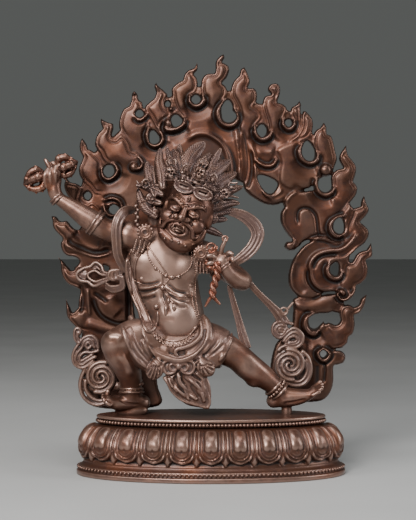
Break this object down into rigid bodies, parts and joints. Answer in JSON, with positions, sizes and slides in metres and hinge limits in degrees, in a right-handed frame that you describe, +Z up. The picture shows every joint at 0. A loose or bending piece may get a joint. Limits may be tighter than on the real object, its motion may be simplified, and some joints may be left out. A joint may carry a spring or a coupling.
{
  "type": "deity statue",
  "caption": "Small cast copper statue of a wrathful guardian in a striding stance, with a flame aureole, on an oval lotus base, for a shelf or an altar.",
  "frame": {"origin": "middle of the base's flat underside", "axes": "+Z up, +X to the right of someone facing the statue, -Y towards its front"},
  "size_m": [0.0951, 0.036, 0.1151],
  "materials": {
    "aged_copper": "satin copper with a dark brown patina"
  },
  "bodies": {
    "root": {"lotus_base": "aged_copper", "flame_aureole": "aged_copper", "figure": "aged_copper"}
  },
  "joints": []
}
